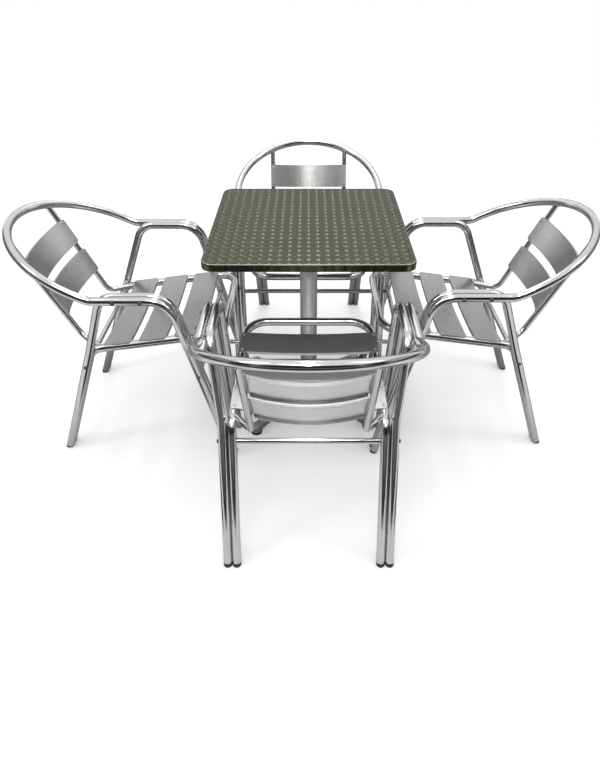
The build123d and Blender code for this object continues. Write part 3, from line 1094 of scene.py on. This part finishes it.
@dataclass(frozen=True)
class WeldBead:
    """Bead round the end of a welded tube, rippled by each pool of the weld."""

    radius: float = 0.0019
    ripple: float = 0.13
    ripple_length: float = 0.0024
    least_ripples: int = 8
    steps_per_ripple: int = 5
    sides: int = 8

    def path(self, loop: np.ndarray) -> np.ndarray:
        """Spreads even points along a corner and softens its kinks.

        Args:
            loop: Closed run of points along the corner.

        Returns:
            As many points as a whole number of ripples needs.
        """
        closed = np.vstack([loop, loop[:1]])
        lengths = np.linalg.norm(np.diff(closed, axis=0), axis=1)
        run = np.concatenate([[0.0], np.cumsum(lengths)])
        ripples = max(self.least_ripples, round(run[-1] / self.ripple_length))
        count = ripples * self.steps_per_ripple
        places = np.arange(count) * run[-1] / count
        points = np.stack([np.interp(places, run, closed[:, axis]) for axis in range(3)], axis=1)
        for _ in range(self.steps_per_ripple):
            points = (np.roll(points, 1, axis=0) + 2 * points + np.roll(points, -1, axis=0)) / 4
        return points

    def lay(self, shape: bmesh.types.BMesh, loop: np.ndarray) -> None:
        """Adds one bead to a mesh.

        Args:
            shape: Mesh that gets the bead.
            loop: Closed run of points along the corner that is welded.
        """
        points = self.path(loop)
        ahead = np.roll(points, -1, axis=0) - np.roll(points, 1, axis=0)
        ahead /= np.linalg.norm(ahead, axis=1)[:, None]
        outward = points - points.mean(0)
        outward -= (outward * ahead).sum(1)[:, None] * ahead
        outward /= np.linalg.norm(outward, axis=1)[:, None]
        across = np.cross(ahead, outward)
        phases = 2 * math.pi * np.arange(len(points)) / self.steps_per_ripple
        radii = self.radius * (1.0 + self.ripple * np.sin(phases))
        rings = []
        for index, point in enumerate(points):
            ring = []
            for side in range(self.sides):
                turn = 2 * math.pi * side / self.sides
                offset = math.cos(turn) * outward[index] + math.sin(turn) * across[index]
                ring.append(shape.verts.new(point + radii[index] * offset))
            rings.append(ring)
        for ring, after in zip(rings, rings[1:] + rings[:1]):
            join_loops(shape, ring, after)


@dataclass
class Chair:
    """One armchair: its solids in their finishes, its fasteners and its welds."""

    side: Side
    nodes: dict[str, bpy.types.Object]
    finishes: Finishes
    bent_tubes: tuple[str, ...] = ("hoop_tube", "side_frames", "seat_frame")
    welded_tubes: tuple[str, ...] = ("back_supports", "stretchers", "seat_spacers")
    slats: tuple[str, ...] = ("back_slats", "seat_slats")
    shortest_weld: float = 0.04
    weld_sharp: float = 80.0

    def node(self, name: str) -> bpy.types.Object:
        """One of the chair's solids."""
        return self.nodes[f"{self.side.value}_{name}"]

    def build(self) -> None:
        """Dresses every solid of the chair and adds its small pieces."""
        for name in self.bent_tubes + self.welded_tubes:
            dress(self.node(name), self.finishes.tube)
        for name in self.slats:
            dress(self.node(name), self.finishes.slat[self.side.slat_grain])
        body = self.side.body
        fit_fasteners(self.node("slat_rivets"), BlindRivet(), self.finishes.zinc, body)
        fit_fasteners(self.node("frame_bolts"), ButtonBolt(), self.finishes.steel, body)
        dress(self.node("foot_plugs"), self.finishes.plastic)
        self.weld()

    def weld(self) -> None:
        """Lays a bead round each end of the supports, stretchers and spacers."""
        shape = bmesh.new()
        for name in self.welded_tubes:
            loops = end_loops(self.node(name), self.shortest_weld)
            LOG.info("%d welded ends on %s", len(loops), self.node(name).name)
            for loop in loops:
                WeldBead().lay(shape, loop)
        name = f"{self.side.value}_weld_beads"
        mesh = smooth_mesh(name, shape, self.weld_sharp)
        add_piece(name, mesh, self.finishes.weld, self.side.body)


@dataclass
class Table:
    """The pedestal table with its glides."""

    nodes: dict[str, bpy.types.Object]
    finishes: Finishes
    glides: tuple[str, ...] = ("far_right", "far_left", "near_left", "near_right")

    def build(self) -> None:
        """Dresses every solid of the table and adds its screws."""
        plain = {
            "table_top_skin": self.finishes.top,
            "table_board": self.finishes.board,
            "table_bracket": self.finishes.coat,
            "table_column": self.finishes.column,
            "table_tie_rod": self.finishes.zinc,
            "table_tie_washer": self.finishes.zinc,
            "table_tie_nut": self.finishes.zinc,
            "table_base": self.finishes.cast,
        }
        for name, material in plain.items():
            dress(self.nodes[name], material)
        screws = self.nodes["table_board_screws"]
        fit_fasteners(screws, CrossScrew(), self.finishes.zinc, "table")
        for name in self.glides:
            dress(self.nodes[f"glide_{name}"], self.finishes.plastic)


@dataclass(frozen=True)
class PhotoCamera:
    """Camera of the photograph, found by fitting one view to the whole set.

    The focal length and the image's centre are in pixels of the photograph, the pitch in degrees.
    """

    place: Point = (-0.0012, -1.6978, 1.3970)
    pitch: float = 37.93
    focal_pixels: float = 562.1
    centre_right: float = 8.3
    centre_down: float = -3.5
    image_height: float = 765.0
    sensor: float = 36.0

    def build(self) -> None:
        """Makes the camera and sets it as the scene's own."""
        data = bpy.data.cameras.new("photo_camera")
        data.sensor_width = self.sensor
        data.lens = self.focal_pixels * self.sensor / self.image_height
        data.shift_x = -self.centre_right / self.image_height
        data.shift_y = self.centre_down / self.image_height
        camera = bpy.data.objects.new("photo_camera", data)
        camera.location = self.place
        camera.rotation_euler = (math.radians(90.0 - self.pitch), 0.0, 0.0)
        bpy.context.scene.collection.objects.link(camera)
        bpy.context.scene.camera = camera


def aim_at(
    thing: bpy.types.Object, place: Point, aim: Point, front: str, steep: float = 0.99
) -> None:
    """Puts a lamp or card at a place and turns its front to an aim.

    Args:
        thing: Lamp or card.
        place: Where it goes.
        aim: Where its front looks.
        front: Its own axis that is its front.
        steep: Upright share of the heading from which the thing is left level.
    """
    thing.location = place
    heading = Vector(aim) - Vector(place)
    if abs(heading.z) < heading.length * steep:
        thing.rotation_euler = heading.to_track_quat(front, "Y").to_euler()


@dataclass(frozen=True)
class SoftLight:
    """A soft box."""

    name: str
    place: Point
    aim: Point
    size: Span
    radiance: float

    def build(self) -> None:
        """Makes the lamp."""
        data = bpy.data.lights.new(self.name, "AREA")
        data.shape = "RECTANGLE"
        data.size, data.size_y = self.size
        data.energy = self.radiance * math.pi * self.size[0] * self.size[1]
        lamp = bpy.data.objects.new(self.name, data)
        aim_at(lamp, self.place, self.aim, "-Z")
        bpy.context.scene.collection.objects.link(lamp)


@dataclass(frozen=True)
class MirrorCard:
    """A flat card, dark or bright, that shows only as a reflection in the metal.

    Its shade runs from the middle to both sides, or to the whole edge of an oval.
    """

    name: str
    place: Point
    aim: Point
    size: Span
    shade: float = 0.02
    edge_shade: float = 0.02
    clear_edge: float = 0.0
    fade: Span = (0.6, 0.95)
    oval: bool = False

    def build(self) -> None:
        """Makes the card, which only reflections show."""
        right, top = (side / 2 for side in self.size)
        mesh = bpy.data.meshes.new(self.name)
        corners = [(-right, -top, 0), (right, -top, 0), (right, top, 0), (-right, top, 0)]
        mesh.from_pydata(corners, [], [(0, 1, 2, 3)])
        card = bpy.data.objects.new(self.name, mesh)
        aim_at(card, self.place, self.aim, "Z")
        mesh.materials.append(self.material())
        card.visible_camera = False
        card.visible_diffuse = False
        card.visible_shadow = False
        card.visible_transmission = False
        bpy.context.scene.collection.objects.link(card)

    def material(self) -> bpy.types.Material:
        """Shade that runs from the middle outwards, and may clear on its way."""
        graph = Graph(self.name)
        width, height = self.size
        shares = (2.0 / width, 2.0 / height if self.oval else 0.0, 0.0)
        share = graph.length(graph.vector("MULTIPLY", graph.place(), shares))
        fade = graph.span(share, RISE, self.fade)
        glow = graph.node("ShaderNodeEmission")
        middle, edge = ((shade,) * 3 for shade in (self.shade, self.edge_shade))
        graph.put(glow.inputs["Color"], graph.blend(fade, middle, edge))
        clear = graph.node("ShaderNodeBsdfTransparent")
        mix = graph.node("ShaderNodeMixShader")
        graph.put(mix.inputs["Fac"], graph.math("MULTIPLY", fade, self.clear_edge))
        graph.put(mix.inputs[1], glow.outputs["Emission"])
        graph.put(mix.inputs[2], clear.outputs["BSDF"])
        graph.put(graph.output.inputs["Surface"], mix.outputs["Shader"])
        graph.tree.nodes.remove(graph.shader)
        return graph.material


LAMPS = (
    SoftLight("overhead_strip", (0.0, 2.3, 3.5), (0.0, 2.3, 0.0), (0.35, 2.4), 8.0),
    SoftLight("left_strip", (-2.4, -1.0, 3.3), (0.0, 0.0, 0.4), (0.5, 1.8), 5.0),
    SoftLight("right_strip", (2.4, -0.6, 3.3), (0.0, 0.0, 0.4), (0.5, 1.8), 4.0),
    SoftLight("front_box", (-0.35, -1.9, 3.3), (0.0, 0.0, 0.5), (1.5, 0.7), 4.5),
)
OVERHEAD = (0.32, 2.5)
FLOOR_OVAL = {"size": (0.45, 0.6), "clear_edge": 1.0, "fade": (0.6, 1.0), "oval": True}
CARDS = (
    MirrorCard("overhead_card", (0.0, 2.4, 3.49), (0.0, 2.4, 0.0), OVERHEAD, 10.0, 10.0),
    MirrorCard("front_overhead_card", (0.0, -2.4, 3.49), (0.0, -2.4, 0.0), OVERHEAD, 10.0, 10.0),
    MirrorCard("front_card", (0.0, -4.2, 2.8), (0.0, 0.0, 2.8), (9.0, 3.6), 0.02, 0.15),
    MirrorCard("front_low_card", (0.0, -4.2, 0.5), (0.0, 0.0, 0.5), (9.0, 1.0), 0.16, 0.26),
    MirrorCard("front_floor_card", (0.0, -2.9, 0.001), (0.0, -2.9, 2.0), (7.0, 2.8), 0.02, 0.3),
    MirrorCard("back_card", (0.0, 3.8, 0.5), (0.0, 0.0, 0.5), (7.0, 1.0), 0.05, 0.3),
    MirrorCard("left_floor_card", (-0.6, -0.65, 0.001), (-0.6, -0.65, 2.0), **FLOOR_OVAL),
    MirrorCard("right_floor_card", (0.6, -0.65, 0.001), (0.6, -0.65, 2.0), **FLOOR_OVAL),
    MirrorCard("left_wing", (-3.8, -2.0, 1.4), (0.0, -1.0, 1.4), (3.6, 2.8), 0.03, 0.2),
    MirrorCard("right_wing", (3.8, -2.0, 1.4), (0.0, -1.0, 1.4), (3.6, 2.8), 0.03, 0.2),
    MirrorCard("left_sky_card", (-4.0, 0.2, 2.2), (0.0, 0.2, 2.2), (5.0, 2.0), 0.3, 0.6),
    MirrorCard("right_sky_card", (4.0, 0.2, 2.2), (0.0, 0.2, 2.2), (5.0, 2.0), 0.45, 0.7),
    MirrorCard("back_sky_card", (0.0, 4.6, 1.9), (0.0, 0.0, 1.9), (9.0, 1.9), 0.72, 0.8),
    MirrorCard("left_card", (-3.6, 0.2, 0.7), (0.0, 0.0, 0.6), (4.0, 1.1), 0.05, 0.3),
    MirrorCard("right_card", (3.6, 0.2, 0.7), (0.0, 0.0, 0.6), (4.0, 1.1), 0.05, 0.3),
)


@dataclass(frozen=True)
class Studio:
    """White floor and backdrop, soft boxes, and the cards that the metal mirrors."""

    floor_reach: float = 4.5
    floor_sides: int = 96
    floor_drop: float = 0.0004
    fade_start: float = 2.2
    fade_end_share: float = 0.98
    floor_shade: float = 0.93
    mirrored_front_shade: float = 0.82
    # Painted shadow: the floor that the metal mirrors is darker towards the back.
    mirrored_back_shade: float = 0.28
    mirrored_run: Span = (-0.5, 0.05)
    floor_glow: float = 0.2
    world_light: float = 0.85

    def build(self) -> None:
        """Builds the stage and the light."""
        scene = bpy.context.scene
        scene.view_settings.view_transform = "Standard"
        self.build_world(scene)
        self.build_floor(scene)
        for thing in LAMPS + CARDS:
            thing.build()

    def build_world(self, scene: bpy.types.Scene) -> None:
        """White to the eye and in reflections, softer as light.

        Args:
            scene: Scene that gets the world.
        """
        world = bpy.data.worlds.new("studio")
        world.use_nodes = True
        tree = world.node_tree
        background = tree.nodes["Background"]
        background.inputs["Color"].default_value = WHITE
        path = tree.nodes.new("ShaderNodeLightPath")
        seen = path.outputs["Is Camera Ray"]
        for name in ("Is Glossy Ray", "Is Transmission Ray"):
            either = tree.nodes.new("ShaderNodeMath")
            either.operation = "MAXIMUM"
            tree.links.new(seen, either.inputs[0])
            tree.links.new(path.outputs[name], either.inputs[1])
            seen = either.outputs["Value"]
        strength = tree.nodes.new("ShaderNodeMapRange")
        strength.inputs["To Min"].default_value = self.world_light
        strength.inputs["To Max"].default_value = 1.0
        tree.links.new(seen, strength.inputs["Value"])
        tree.links.new(strength.outputs["Result"], background.inputs["Strength"])
        scene.world = world

    def build_floor(self, scene: bpy.types.Scene) -> None:
        """Pale floor that fades into the white backdrop.

        Args:
            scene: Scene that gets the floor.
        """
        mesh = bpy.data.meshes.new("studio_floor")
        shape = bmesh.new()
        bmesh.ops.create_circle(
            shape, cap_ends=True, segments=self.floor_sides, radius=self.floor_reach
        )
        shape.to_mesh(mesh)
        shape.free()
        floor = bpy.data.objects.new("studio_floor", mesh)
        floor.location.z = -self.floor_drop
        mesh.materials.append(self.floor_material())
        scene.collection.objects.link(floor)

    def floor_material(self) -> bpy.types.Material:
        """Pale to the eye; to the metal, darker towards the back as a painted shadow of the set."""
        graph = Graph("studio_floor")
        shades = (self.floor_shade, self.mirrored_front_shade, self.mirrored_back_shade)
        pale, front, back = ((shade,) * 3 for shade in shades)
        path = graph.node("ShaderNodeLightPath").outputs
        depth = graph.parts(graph.place())["Y"]
        # Painted shadow: the floor seen in reflections darkens towards the back.
        mirrored = graph.blend(graph.span(depth, RISE, self.mirrored_run), front, back)
        fade = (self.fade_start, self.floor_reach * self.fade_end_share)
        graph.set_shader(
            Base_Color=graph.blend(path["Is Glossy Ray"], pale, mirrored),
            Roughness=1.0,
            Specular_IOR_Level=0.0,
            Emission_Color=WHITE,
            Emission_Strength=graph.math("MULTIPLY", path["Is Camera Ray"], self.floor_glow),
            Alpha=graph.span(graph.length(graph.place()), FALL, fade),
        )
        return graph.material


def main() -> None:
    """Builds the dressed set, its stage and its camera."""
    logging.basicConfig(level=logging.INFO, format="%(message)s")
    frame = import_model()
    finishes = Finishes()
    Table(frame["nodes"], finishes).build()
    for side in Side:
        Chair(side, frame["nodes"], finishes).build()
    Studio().build()
    PhotoCamera().build()


if __name__ == "__main__":
    main()
